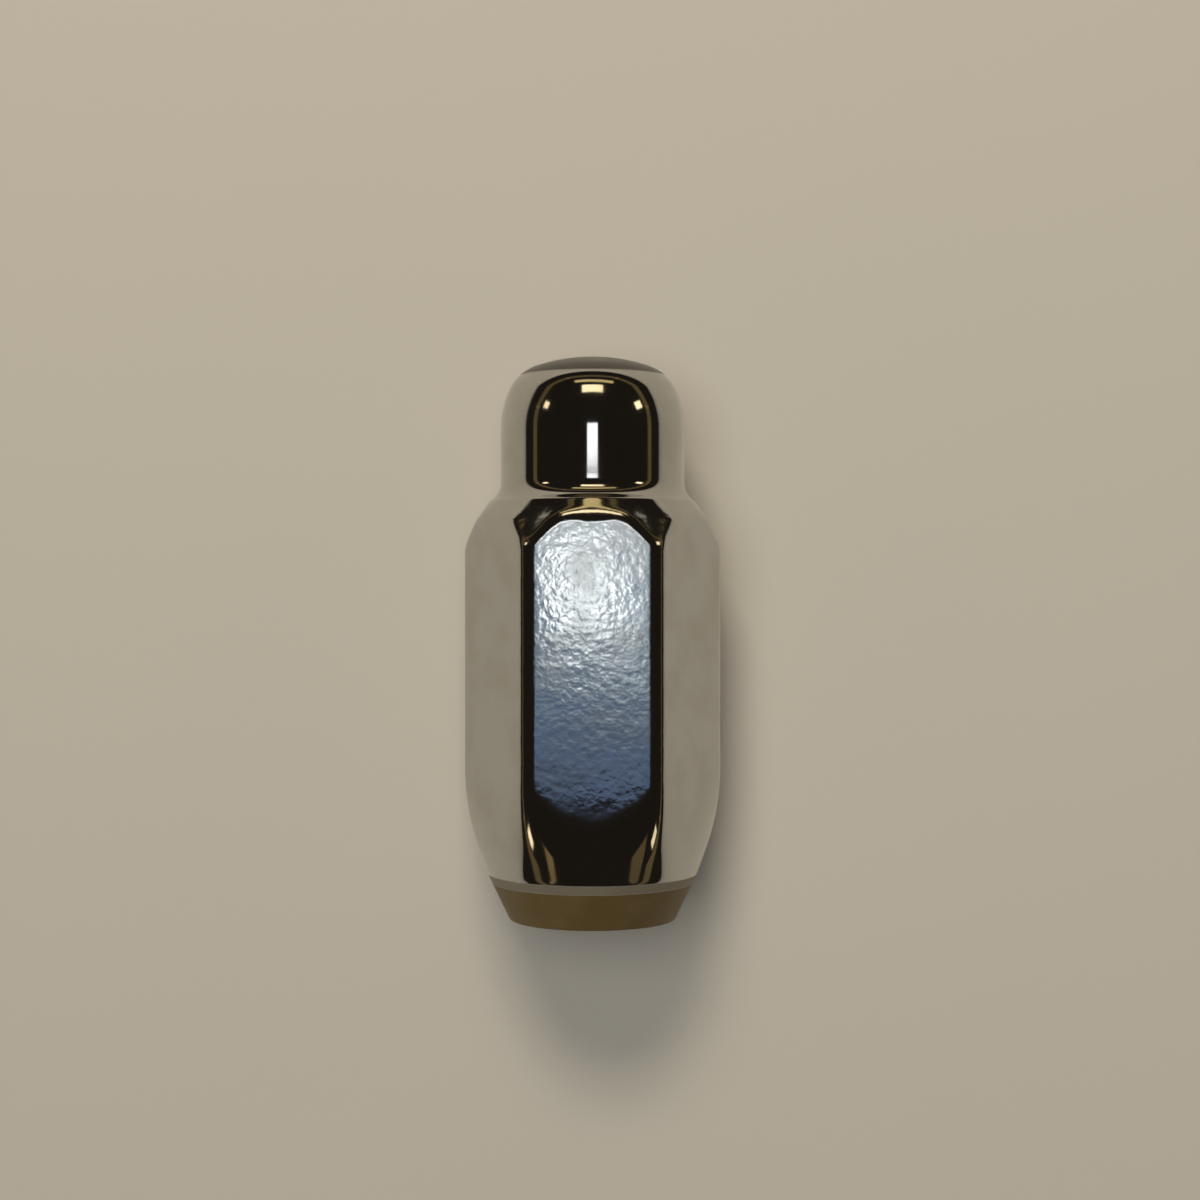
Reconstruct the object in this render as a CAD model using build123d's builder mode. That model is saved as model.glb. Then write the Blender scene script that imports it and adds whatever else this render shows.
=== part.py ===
"""Closed-end lug nut with a conical seat, forged in one piece and plated bright.

The nut lies on one flat of its hexagon. Its own axis runs along Y: the closed, domed end points
to +Y, and the seat with its threaded hole opens to -Y. The origin is on the surface under the
nut, at the middle of its length. All sizes are in millimetres.
"""

import os
from math import cos, pi, radians, sqrt, tan

from build123d import *

# Hexagon, for a three-quarter-inch socket
hex_sides = 6
across_flats = 19.05
hex_corner_round = 1.6

# Overall length, and stations along the axis counted from the seat end
overall_length = 47.2
seat_length = 4.0
top_cone_end_station = 35.0
shoulder_length = 0.8

# Seat: a turned cone at the end, then the slimmer forged taper up to the hexagon
seat_end_wall = 0.8
seat_half_angle = 25.5
taper_half_angle = 20.0
seat_blend_radius = 3.0
end_lip_round = 0.3
hex_to_taper_blend = 1.0

# Outer end of the hexagon, cut back by a cone
top_cone_half_angle = 29.0
top_cone_edge_round = 0.3
hex_to_top_cone_blend = 0.4

# Closed dome
dome_radius = 7.75
shoulder_height = 1.0
dome_base_fillet = 1.8
dome_flank_length = 4.8
crown_radius = 15.0
flank_drop = 1.45
knuckle_round = 3.8

# Threaded hole, M12 x 1.5: its wall stands at the tapping-drill size
thread_major_diameter = 12.0
thread_pitch = 1.5
thread_height_factor = 1.0825
drilled_depth = 33.0
drill_point_half_angle = 59.0
entry_clearance = 0.15
entry_half_angle = 45.0

# How far the turned blank stands outside the hexagon's corners before the flats are formed
blank_allowance = 1.0

# Worked out from the sizes above
rest_height = across_flats / 2
minor_radius = (thread_major_diameter - thread_height_factor * thread_pitch) / 2
entry_radius = thread_major_diameter / 2 + entry_clearance
entry_depth = (entry_radius - minor_radius) / tan(radians(entry_half_angle))
drill_tip_station = drilled_depth + minor_radius / tan(radians(drill_point_half_angle))
seat_end_radius = entry_radius + seat_end_wall
blank_radius = rest_height / cos(pi / hex_sides) + blank_allowance
seat_edge_radius = seat_end_radius + seat_length * tan(radians(seat_half_angle))
taper_end_station = seat_length + (blank_radius - seat_edge_radius) / tan(radians(taper_half_angle))
top_cone_end_radius = dome_radius + shoulder_height
top_cone_run = (blank_radius - top_cone_end_radius) / tan(radians(top_cone_half_angle))
top_cone_start_station = top_cone_end_station - top_cone_run
dome_base_station = top_cone_end_station + shoulder_length
crown_edge_radius = dome_radius - flank_drop
crown_height = crown_radius - sqrt(crown_radius**2 - crown_edge_radius**2)
crown_station = overall_length - crown_height
flank_station = crown_station - dome_flank_length

# The nut's own axis, and the two planes that its sections are drawn on. On profile_plane the
# distance from the seat end runs across and the radius runs up; hex_plane is square to the axis.
seat_end = (0, -overall_length / 2, rest_height)
nut_axis = Axis(seat_end, (0, 1, 0))
profile_plane = Plane(origin=seat_end, x_dir=(0, 1, 0), z_dir=(1, 0, 0))
hex_plane = Plane(origin=seat_end, x_dir=(1, 0, 0), z_dir=(0, 1, 0))

os.makedirs("parts", exist_ok=True)

with BuildPart() as lug_nut:
    # Turned blank: seat, taper, body, top cone, shoulder and dome
    with BuildSketch(profile_plane) as blank:
        with BuildLine():
            Polyline(
                (0, 0),
                (0, seat_end_radius),
                (seat_length, seat_edge_radius),
                (taper_end_station, blank_radius),
                (top_cone_start_station, blank_radius),
                (top_cone_end_station, top_cone_end_radius),
                (dome_base_station, dome_radius),
                (flank_station, dome_radius),
            )
            TangentArc(
                (flank_station, dome_radius),
                (crown_station, crown_edge_radius),
                tangent=(1, 0),
            )
            RadiusArc((crown_station, crown_edge_radius), (overall_length, 0), crown_radius)
            Line((overall_length, 0), (0, 0))
        make_face()
        blank_rounds = [
            (0, seat_end_radius, end_lip_round),
            (seat_length, seat_edge_radius, seat_blend_radius),
            (top_cone_end_station, top_cone_end_radius, top_cone_edge_round),
            (dome_base_station, dome_radius, dome_base_fillet),
            (crown_station, crown_edge_radius, knuckle_round),
        ]
        for station, radius, round_radius in blank_rounds:
            corner = blank.vertices().sort_by_distance((station, radius))[0]
            fillet(corner, radius=round_radius)
    revolve(axis=nut_axis)

    # Six flats, with rounded corners between them
    with BuildSketch(hex_plane) as hexagon:
        RegularPolygon(radius=rest_height, side_count=hex_sides, major_radius=False)
        fillet(hexagon.vertices(), radius=hex_corner_round)
    extrude(amount=overall_length, mode=Mode.INTERSECT)

    # Soft edges where the flats run out on the taper and on the top cone
    run_outs = lug_nut.edges().filter_by(GeomType.LINE, reverse=True)
    run_outs = run_outs.filter_by(GeomType.CIRCLE, reverse=True)
    fillet(run_outs.filter_by_position(Axis.Y, seat_end[1], 0), radius=hex_to_taper_blend)
    fillet(run_outs.filter_by_position(Axis.Y, 0, -seat_end[1]), radius=hex_to_top_cone_blend)

    # Tapped hole from the seat end, with its lead-in and the drill's point at the bottom
    with BuildSketch(profile_plane):
        with BuildLine():
            Polyline(
                (0, 0),
                (0, entry_radius),
                (entry_depth, minor_radius),
                (drilled_depth, minor_radius),
                (drill_tip_station, 0),
                close=True,
            )
        make_face()
    revolve(axis=nut_axis, mode=Mode.SUBTRACT)

lug_nut.part.label = "lug_nut"
export_step(lug_nut.part, "parts/lug_nut.step")
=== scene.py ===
from cmath import phase
from math import atan2, ceil, cos, hypot, pi, radians, sin, sqrt, tan

import bmesh
import bpy
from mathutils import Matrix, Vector


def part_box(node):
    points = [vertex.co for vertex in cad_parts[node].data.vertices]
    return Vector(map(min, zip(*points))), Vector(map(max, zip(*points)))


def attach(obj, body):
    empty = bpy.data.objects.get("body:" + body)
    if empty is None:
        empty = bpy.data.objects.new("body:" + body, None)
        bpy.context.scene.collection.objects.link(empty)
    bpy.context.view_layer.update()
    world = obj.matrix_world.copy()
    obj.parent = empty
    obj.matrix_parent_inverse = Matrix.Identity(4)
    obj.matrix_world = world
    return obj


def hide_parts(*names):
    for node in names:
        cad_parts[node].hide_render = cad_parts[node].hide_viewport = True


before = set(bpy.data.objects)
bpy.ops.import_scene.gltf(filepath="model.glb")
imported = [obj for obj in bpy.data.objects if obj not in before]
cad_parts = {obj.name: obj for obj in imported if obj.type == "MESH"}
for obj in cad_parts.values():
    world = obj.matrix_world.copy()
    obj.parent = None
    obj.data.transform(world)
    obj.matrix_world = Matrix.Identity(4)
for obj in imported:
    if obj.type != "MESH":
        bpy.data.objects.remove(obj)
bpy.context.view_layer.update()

# ---- The forged and turned outside ------------------------------------------------------------
# A cold-forged steel blank, turned at the seat end and domed at the closed end. Six flats are
# pressed into it, and polishing lets them run out softly on the taper towards the seat.

low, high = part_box("lug_nut")
overall_length = high[1] - low[1]
seat_y = low[1]
half_flats = (high[2] - low[2]) / 2
axis_height = low[2] + half_flats

mouth_radius = 0.00615
seat_end_radius = 0.00695
seat_length = 0.0040
seat_slope = tan(radians(25.5))
taper_slope = tan(radians(20.0))
top_cone_slope = tan(radians(29.0))
top_cone_end = 0.0350
dome_base = 0.0358
dome_radius = 0.00775
shoulder_height = 0.0010
flank_length = 0.0048
crown_radius = 0.015
crown_edge_radius = 0.0063
knuckle_round = 0.0038
corner_round = 0.0016
blank_allowance = 0.0010

columns = 288
corner_crowding = 0.75
arc_step = radians(4)


def spaced(start, end, spacing):
    """Points along a straight run of an outline, without its start."""
    count = ceil(abs(end - start) / spacing)
    return [start + (end - start) * i / count for i in range(1, count + 1)]


def rounded(corners):
    """An outline through corners of (point, round radius, spacing of the run that leads there).

    A point is a complex number: the distance from the seat end, and the radius.
    """
    points = [corners[0][0]]
    for (before, _, _), (corner, radius, spacing), (after, _, _) in zip(corners, corners[1:], corners[2:]):
        heading = (corner - before) / abs(corner - before)
        turn = phase((after - corner) / heading)
        tangent_length = radius * tan(abs(turn) / 2)
        arc_start = corner - heading * tangent_length
        points += spaced(points[-1], arc_start, spacing)
        steps = ceil(abs(turn) / arc_step) if radius else 0
        for i in range(1, steps + 1):
            angle = abs(turn) * i / steps
            side = 1 - cos(angle) if turn > 0 else cos(angle) - 1
            points.append(arc_start + radius * heading * complex(sin(angle), side))
    return points + spaced(points[-1], corners[-1][0], corners[-1][2])


def arc(centre, radius, start, end, spacing):
    """Points along a circular arc of an outline, without its start."""
    count = ceil(radius * abs(end - start) / spacing)
    angles = [start + (end - start) * i / count for i in range(1, count + 1)]
    return [centre + radius * complex(cos(angle), sin(angle)) for angle in angles]


seat_edge_radius = seat_end_radius + seat_length * seat_slope
corner_reach = half_flats / cos(pi / 6)
blank_radius = corner_reach + blank_allowance
taper_end = seat_length + (blank_radius - seat_edge_radius) / taper_slope
top_cone_end_radius = dome_radius + shoulder_height
top_cone_start = top_cone_end - (blank_radius - top_cone_end_radius) / top_cone_slope
crown_station = overall_length - crown_radius + sqrt(crown_radius**2 - crown_edge_radius**2)
flank_start = crown_station - flank_length
flank_drop = dome_radius - crown_edge_radius
flank_radius = (flank_length**2 + flank_drop**2) / (2 * flank_drop)

corners = [
    (complex(0, mouth_radius), 0, 0),
    (complex(0, seat_end_radius), 0.00030, 0.00020),
    (complex(seat_length, seat_edge_radius), 0.0030, 0.00040),
    (complex(taper_end, blank_radius), 0, 0.00024),
    (complex(top_cone_start, blank_radius), 0, 0.00120),
    (complex(top_cone_end, top_cone_end_radius), 0.00030, 0.00014),
    (complex(dome_base, dome_radius), 0.00180, 0.00012),
    (complex(flank_start, dome_radius), 0, 0.00040),
]

# The dome: a flank and a crown, with the knuckle's circle touching both from inside
flank_centre = complex(flank_start, dome_radius - flank_radius)
crown_centre = complex(overall_length - crown_radius, 0)
to_crown = crown_centre - flank_centre
flank_gap = flank_radius - knuckle_round
crown_gap = crown_radius - knuckle_round
along = (flank_gap**2 - crown_gap**2 + abs(to_crown) ** 2) / (2 * abs(to_crown))
aside = sqrt(flank_gap**2 - along**2)
knuckle_centre = flank_centre + to_crown / abs(to_crown) * complex(along, -aside)
flank_end = phase(knuckle_centre - flank_centre)
crown_start = phase(knuckle_centre - crown_centre)
dome = arc(flank_centre, flank_radius, pi / 2, flank_end, 0.00045)
dome += arc(knuckle_centre, knuckle_round, flank_end, crown_start, 0.00022)
dome += arc(crown_centre, crown_radius, crown_start, 0, 0.00055)


def spin_outline(mesh, outline, steps, lead=0.0):
    """Turns an outline about the nut's axis, advancing by lead in a turn. Returns its new vertices."""
    verts = [mesh.verts.new((0, seat_y + p.real, axis_height + p.imag)) for p in outline]
    edges = [mesh.edges.new(pair) for pair in zip(verts, verts[1:])]
    known = set(mesh.verts) - set(verts)
    bmesh.ops.spin(
        mesh,
        geom=verts + edges,
        cent=(0, 0, axis_height),
        axis=(0, 1, 0),
        dvec=(0, lead / steps, 0),
        angle=2 * pi,
        steps=steps,
        use_merge=not lead,
    )
    turned = [v for v in mesh.verts if v not in known]
    bmesh.ops.remove_doubles(mesh, verts=turned, dist=1e-7)
    return [v for v in mesh.verts if v not in known]


def across_hexagon(angle):
    """Distance from the axis to the hexagon's surface, in a direction counted from a flat's middle."""
    from_flat = angle - round(angle / (pi / 3)) * pi / 3
    from_corner = pi / 6 - abs(from_flat)
    centre = (half_flats - corner_round) / cos(pi / 6)
    if centre * sin(from_corner) < corner_round / 2:
        return centre * cos(from_corner) + sqrt(corner_round**2 - (centre * sin(from_corner)) ** 2)
    return half_flats / cos(from_flat)


def soft_lesser(a, b, width):
    """The lesser of two distances, rounded over where they differ by less than width."""
    overlap = max(width - abs(a - b), 0) / width
    return min(a, b) - overlap**2 * width / 4


taper_run_out = 0.00125
top_run_out = 0.00040
bevel_fade = 0.0009
bevel_swell = 0.034

nut_mesh = bmesh.new()
outside = spin_outline(nut_mesh, rounded(corners) + dome, columns)
for vert in outside:
    reach = hypot(vert.co.x, vert.co.z - axis_height)
    angle = atan2(vert.co.x, vert.co.z - axis_height)
    angle += corner_crowding / 6 * sin(6 * angle)
    near_seat = vert.co.y < seat_y + overall_length / 2
    run_out = taper_run_out if near_seat else top_run_out
    if not near_seat and reach > top_cone_end_radius:
        share = min((reach - top_cone_end_radius) / bevel_fade, 1)
        reach *= 1 + share * bevel_swell * sin(6 * angle) ** 2
    reach = soft_lesser(reach, across_hexagon(angle), run_out)
    vert.co.x = reach * sin(angle)
    vert.co.z = axis_height + reach * cos(angle)

# ---- The drilled and tapped hole --------------------------------------------------------------
# A blind hole from the seat end, drilled to the thread's minor size and tapped M12 x 1.5. The
# lead-in is countersunk, the last turns of thread fade out, and the drill's point ends it.
# Known fault: the bridge at the mouth closes the opening, and the hole's walls face the wrong way.

thread_pitch = 0.0015
thread_root_radius = 0.0060
minor_radius = 0.005188
thread_end = 0.0280
thread_fade = 0.0030
drilled_depth = 0.0330
drill_point_slope = tan(radians(59))
thread_columns = 80
crest_flat = thread_pitch / 4
root_flat = thread_pitch / 8
edge_break = 0.00005

thread_outline = []
turns = ceil(thread_end / thread_pitch)
for turn in range(-2, turns + 1):
    start = turn * thread_pitch
    root_start = thread_pitch / 2 - root_flat / 2
    root_end = thread_pitch / 2 + root_flat / 2
    for offset, radius in (
        (crest_flat / 2 - edge_break, minor_radius),
        (crest_flat / 2 + edge_break, minor_radius + edge_break),
        (root_start - edge_break, thread_root_radius - edge_break),
        (root_start + edge_break, thread_root_radius),
        (root_end - edge_break, thread_root_radius),
        (root_end + edge_break, thread_root_radius - edge_break),
        (thread_pitch - crest_flat / 2 - edge_break, minor_radius + edge_break),
        (thread_pitch - crest_flat / 2 + edge_break, minor_radius),
    ):
        thread_outline.append(complex(start + offset, radius))

thread = spin_outline(nut_mesh, thread_outline, thread_columns, lead=thread_pitch)
for vert in thread:
    station = vert.co.y - seat_y
    reach = hypot(vert.co.x, vert.co.z - axis_height)
    depth = min(max((thread_end - station) / thread_fade, 0), 1)
    wanted = minor_radius + (reach - minor_radius) * depth
    wanted = max(wanted, mouth_radius - max(station, 0))
    vert.co.x *= wanted / reach
    vert.co.z = axis_height + (vert.co.z - axis_height) * wanted / reach


def trim(mesh, verts, station, keep):
    """Cuts verts' faces off square to the axis. keep is +1 for the dome's side, -1 for the seat's."""
    faces = {face for vert in verts for face in vert.link_faces}
    edges = {edge for vert in verts for edge in vert.link_edges}
    cut = bmesh.ops.bisect_plane(
        mesh,
        geom=list(verts) + list(edges) + list(faces),
        dist=1e-8,
        plane_co=(0, seat_y + station, 0),
        plane_no=(0, -keep, 0),
        clear_outer=True,
    )
    return [item for item in cut["geom_cut"] if isinstance(item, bmesh.types.BMEdge)]


def ring(mesh, verts, station):
    """Open edges of verts that lie at a station."""
    edges = {edge for vert in verts for edge in vert.link_edges if len(edge.link_faces) == 1}
    return [e for e in edges if all(abs(v.co.y - seat_y - station) < 1e-6 for v in e.verts)]


mouth_ring = trim(nut_mesh, thread, 0.0, keep=1)
thread = [vert for vert in thread if vert.is_valid]
end_ring = trim(nut_mesh, thread, thread_end, keep=-1)
plain_outline = [
    complex(thread_end + 0.0002, minor_radius),
    complex(drilled_depth - 0.0002, minor_radius),
    complex(drilled_depth, minor_radius),
    complex(drilled_depth + 0.0002 / drill_point_slope, minor_radius - 0.0002),
    complex(drilled_depth + minor_radius / drill_point_slope, 0),
]
plain = spin_outline(nut_mesh, plain_outline, thread_columns)
outside = [vert for vert in outside if vert.is_valid]
bmesh.ops.bridge_loops(nut_mesh, edges=end_ring + ring(nut_mesh, plain, thread_end + 0.0002))
bmesh.ops.bridge_loops(nut_mesh, edges=mouth_ring + ring(nut_mesh, outside, 0.0))
bmesh.ops.recalc_face_normals(nut_mesh, faces=nut_mesh.faces)
for face in nut_mesh.faces:
    face.smooth = True

nut_data = bpy.data.meshes.new("nut_body")
nut_mesh.to_mesh(nut_data)
nut_mesh.free()
nut_body = bpy.data.objects.new("nut_body", nut_data)
bpy.context.scene.collection.objects.link(nut_body)
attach(nut_body, "root")
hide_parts("lug_nut")

# ---- The plating ------------------------------------------------------------------------------
# Bright nickel and chrome over polished steel. The pressed flats keep a faint orange peel, and the
# tapped hole is bare, oiled steel. The seat end is painted dull dark brown as painted shade, with a
# paler band of painted reflection beyond it. Known fault: the hole's finish goes by distance from
# the axis alone, so the dome's middle has it too.

# Stations from the seat end: the painted dark shade ends at the first, the paler band of painted reflection
# at the second
painted_shade_end = 0.00312
painted_reflection_end = 0.00388
hole_finish_radius = 0.0062
flats_start = (0.0085, 0.0125)
flats_end = (0.0350, 0.0335)


def node(tree, kind, inputs=None, **settings):
    """A shader node with its settings, and its inputs given as values or as other nodes' outputs."""
    made = tree.nodes.new(kind)
    for name, value in settings.items():
        setattr(made, name, value)
    for key, value in (inputs or {}).items():
        if isinstance(value, bpy.types.NodeSocket):
            tree.links.new(value, made.inputs[key])
        else:
            made.inputs[key].default_value = value
    return made


def sum_of(tree, operation, first, second=0.0):
    """A Math node's output."""
    return node(tree, "ShaderNodeMath", {0: first, 1: second}, operation=operation).outputs[0]


def ramp(tree, value, start, end, low_value=0.0, high_value=1.0):
    """A value eased from one level to another between start and end."""
    eased = node(
        tree,
        "ShaderNodeMapRange",
        {"Value": value, "From Min": start, "From Max": end, "To Min": low_value, "To Max": high_value},
        interpolation_type="SMOOTHSTEP",
    )
    return eased.outputs["Result"]


def mixed(tree, factor, first, second):
    """A node that mixes two colours, each a tuple or another node's output. Its output is Result."""
    return node(tree, "ShaderNodeMix", {"Factor": factor, "A": first, "B": second}, data_type="RGBA")


plating = bpy.data.materials.new("bright_plating")
plating.use_nodes = True
tree = plating.node_tree
tree.nodes.clear()
place = node(tree, "ShaderNodeTexCoord").outputs["Object"]
from_axis = node(
    tree, "ShaderNodeMapping", {"Vector": place, "Location": (0, -seat_y, -axis_height)}
).outputs["Vector"]
parts = node(tree, "ShaderNodeSeparateXYZ", {"Vector": from_axis}).outputs
station = parts["Y"]
across = sum_of(tree, "POWER", parts["X"], 2.0)
upright = sum_of(tree, "POWER", parts["Z"], 2.0)
reach = sum_of(tree, "SQRT", sum_of(tree, "ADD", across, upright))

# Where the painted shade on the seat end stops, not quite even, and the narrow band of painted reflection
# beyond it
wander = node(tree, "ShaderNodeTexNoise", {"Vector": from_axis, "Scale": 450.0, "Detail": 2.0}).outputs[0]
line = sum_of(tree, "ADD", station, sum_of(tree, "MULTIPLY", sum_of(tree, "SUBTRACT", wander, 0.5), 0.0001))
painted_shade_mask = ramp(tree, line, painted_shade_end + 0.00006, painted_shade_end - 0.00006)
painted_bands_mask = ramp(tree, line, painted_reflection_end + 0.00006, painted_reflection_end - 0.00006)
painted_reflection_mask = sum_of(tree, "SUBTRACT", painted_bands_mask, painted_shade_mask)
in_hole = ramp(tree, reach, hole_finish_radius + 0.0001, hole_finish_radius - 0.0001)
on_flats = sum_of(
    tree,
    "MULTIPLY",
    ramp(tree, station, *flats_start),
    ramp(tree, station, *flats_end),
)

# Colours: cool bright plating, dark brown painted shade on the seat end, a paler painted reflection band,
# grey oiled steel
cloud = node(tree, "ShaderNodeTexNoise", {"Vector": from_axis, "Scale": 260.0, "Detail": 3.0}).outputs[0]
bright = mixed(tree, ramp(tree, cloud, 0.35, 0.7), (0.56, 0.555, 0.53, 1), (0.51, 0.50, 0.465, 1))
# The dark brown is painted shade on the seat end, clouded a little
brown = mixed(tree, ramp(tree, cloud, 0.35, 0.7), (0.155, 0.104, 0.038, 1), (0.19, 0.13, 0.052, 1))
steel = (0.16, 0.15, 0.14, 1)
colour = mixed(tree, painted_shade_mask, bright.outputs["Result"], brown.outputs["Result"])
# A paler, duller band beyond the painted shade is a painted reflection of the lit floor
colour = mixed(tree, painted_reflection_mask, colour.outputs["Result"], (0.25, 0.215, 0.15, 1))
colour = mixed(tree, in_hole, colour.outputs["Result"], steel)

# Polish: near mirror, hazier in small clouds, dull on the seat and in the hole
haze = ramp(tree, cloud, 0.3, 0.75, 0.045, 0.10)
seat_dull = sum_of(tree, "MULTIPLY", sum_of(tree, "ADD", painted_shade_mask, painted_reflection_mask), 0.42)
flat_haze = sum_of(tree, "MULTIPLY", on_flats, 0.035)
hole_dull = sum_of(tree, "MULTIPLY", in_hole, 0.28)
rough = sum_of(tree, "ADD", sum_of(tree, "ADD", haze, seat_dull), sum_of(tree, "ADD", hole_dull, flat_haze))

# Orange peel: rounded bumps about a millimetre apart with finer ones among them
peel = node(tree, "ShaderNodeTexNoise", {"Vector": from_axis, "Scale": 900.0, "Detail": 1.5}).outputs[0]
fine = node(tree, "ShaderNodeTexNoise", {"Vector": from_axis, "Scale": 2300.0, "Detail": 1.0}).outputs[0]
height = sum_of(tree, "ADD", peel, sum_of(tree, "MULTIPLY", fine, 0.5))
depth = ramp(tree, on_flats, 0.0, 1.0, 0.06, 1.0)
bumps = node(
    tree,
    "ShaderNodeBump",
    {"Height": sum_of(tree, "MULTIPLY", height, depth), "Strength": 1.0, "Distance": 0.000012},
)
shader = node(
    tree,
    "ShaderNodeBsdfPrincipled",
    {
        "Base Color": colour.outputs["Result"],
        # Less metallic where the painted shade and painted reflection bands lie
        "Metallic": ramp(tree, painted_bands_mask, 0.0, 1.0, 1.0, 0.35),
        "Roughness": rough,
        "Normal": bumps.outputs["Normal"],
    },
)
node(tree, "ShaderNodeOutputMaterial", {"Surface": shader.outputs["BSDF"]})
nut_data.materials.append(plating)

# ---- Floor, lamps and camera ------------------------------------------------------------------
# The nut lies on a plain pale surface under soft lamps, and the camera looks straight down on it.

view_width = 0.10104
camera_height = 0.175
camera_x = 0.00063
camera_y = 0.0032
overhead_height = 0.50

floor_half = 1.2
floor_mesh = bmesh.new()
bmesh.ops.create_grid(floor_mesh, x_segments=8, y_segments=8, size=floor_half)
floor_data = bpy.data.meshes.new("floor")
floor_mesh.to_mesh(floor_data)
floor_mesh.free()
floor = bpy.data.objects.new("floor", floor_data)
bpy.context.scene.collection.objects.link(floor)
floor_look = bpy.data.materials.new("floor")
floor_look.use_nodes = True
floor_shader = floor_look.node_tree.nodes["Principled BSDF"]
floor_shader.inputs["Base Color"].default_value = (0.50, 0.455, 0.375, 1)
floor_shader.inputs["Roughness"].default_value = 0.5
floor_shader.inputs["Specular IOR Level"].default_value = 0.2
floor_data.materials.append(floor_look)

nut_middle = Vector((0, 0, axis_height))


def soft_lamp(name, azimuth, elevation, distance, width, height, colour, radiance, in_plating=True):
    """A rectangular lamp aimed at the nut. Azimuth 0 is above the dome's side and 90 above +X."""
    lamp_data = bpy.data.lights.new(name, "AREA")
    lamp_data.shape = "RECTANGLE"
    lamp_data.size = width
    lamp_data.size_y = height
    lamp_data.color = colour
    lamp_data.energy = radiance * pi * width * height
    turn, rise = radians(azimuth), radians(elevation)
    away = Vector((sin(turn) * cos(rise), cos(turn) * cos(rise), sin(rise)))
    lamp = bpy.data.objects.new(name, lamp_data)
    lamp.location = nut_middle + away * distance
    lamp.rotation_euler = away.to_track_quat("Z", "Y").to_euler()
    lamp.visible_glossy = in_plating
    bpy.context.scene.collection.objects.link(lamp)
    return lamp


warm = (1.0, 0.80, 0.50)
cool = (0.74, 0.87, 1.0)
brown_light = (0.55, 0.38, 0.16)

daylight_data = bpy.data.lights.new("daylight", "SUN")
daylight_data.energy = 1.56
daylight_data.angle = radians(40)
daylight_data.color = (0.90, 0.945, 1.0)
daylight = bpy.data.objects.new("daylight", daylight_data)
daylight.rotation_euler = (radians(-6), radians(-9), 0)
daylight.visible_glossy = False
bpy.context.scene.collection.objects.link(daylight)

soft_lamp("key", -9, 46, 0.55, 0.20, 0.14, (1.0, 0.92, 0.80), 19.0, in_plating=False)
soft_lamp("key_glow", 0, 44, 0.55, 0.22, 0.085, warm, 2.2)
soft_lamp("low_key_glow", 2, 29, 0.60, 0.42, 0.070, (1.0, 0.76, 0.34), 0.85)
soft_lamp("left_lamp", -62, 25, 0.50, 0.055, 0.055, warm, 2.0)
soft_lamp("right_lamp", 62, 25, 0.50, 0.060, 0.075, warm, 2.4)
soft_lamp("left_front_lamp", -125, 24, 0.50, 0.07, 0.07, warm, 2.0)
soft_lamp("right_front_lamp", 125, 24, 0.50, 0.07, 0.07, warm, 1.4)
soft_lamp("left_front_glow", -143, 34, 0.50, 0.030, 0.22, brown_light, 0.40)
soft_lamp("right_front_glow", 141, 34, 0.50, 0.055, 0.22, brown_light, 0.20)
for step in range(8):
    soft_lamp("low_glow", 45 * step, 15, 0.90, 0.76, 0.085, brown_light, 0.22)

# Lamps overhead, around the camera: a small bright one, and broad cool ones that dim away from it
for name, x, y, width, depth, colour, radiance in (
    ("overhead_bright", -0.006, 0.003, 0.016, 0.028, (0.88, 0.95, 1.0), 3.6),
    ("overhead_top", 0.000, 0.023, 0.110, 0.018, (0.80, 0.91, 1.0), 0.95),
    ("overhead_right", 0.012, -0.008, 0.018, 0.036, cool, 0.85),
    ("overhead_streak", 0.000, 0.056, 0.110, 0.030, (0.90, 0.93, 1.0), 2.2),
    ("overhead_wide", 0.000, -0.010, 0.110, 0.050, (0.56, 0.75, 1.0), 0.36),
    ("overhead_low", 0.000, -0.051, 0.110, 0.032, (0.36, 0.56, 1.0), 0.30),
    ("overhead_low_left", -0.011, -0.052, 0.014, 0.016, cool, 1.2),
    ("overhead_low_right", 0.013, -0.048, 0.010, 0.014, cool, 1.0),
):
    overhead_data = bpy.data.lights.new(name, "AREA")
    overhead_data.shape = "RECTANGLE"
    overhead_data.size = width
    overhead_data.size_y = depth
    overhead_data.color = colour
    overhead_data.energy = radiance * pi * width * depth
    overhead = bpy.data.objects.new(name, overhead_data)
    overhead.location = (camera_x + x, camera_y + y, axis_height + overhead_height)
    bpy.context.scene.collection.objects.link(overhead)

room = bpy.data.worlds.new("room")
room.use_nodes = True
room_tree = room.node_tree
room_tree.nodes.clear()
rays = node(room_tree, "ShaderNodeLightPath")
dim = mixed(room_tree, rays.outputs["Is Camera Ray"], (0.016, 0.013, 0.010, 1), (0.50, 0.455, 0.385, 1))
sky = node(room_tree, "ShaderNodeBackground", {"Color": dim.outputs["Result"], "Strength": 1.0})
node(room_tree, "ShaderNodeOutputWorld", {"Surface": sky.outputs["Background"]})
bpy.context.scene.world = room

camera_data = bpy.data.cameras.new("camera")
camera_data.sensor_width = 36.0
camera_data.lens = camera_data.sensor_width * camera_height / view_width
camera_data.clip_start = 0.01
camera_data.clip_end = 5.0
camera = bpy.data.objects.new("camera", camera_data)
camera.location = (camera_x, camera_y, axis_height + camera_height)
bpy.context.scene.collection.objects.link(camera)
bpy.context.scene.camera = camera
bpy.context.scene.view_settings.view_transform = "Standard"
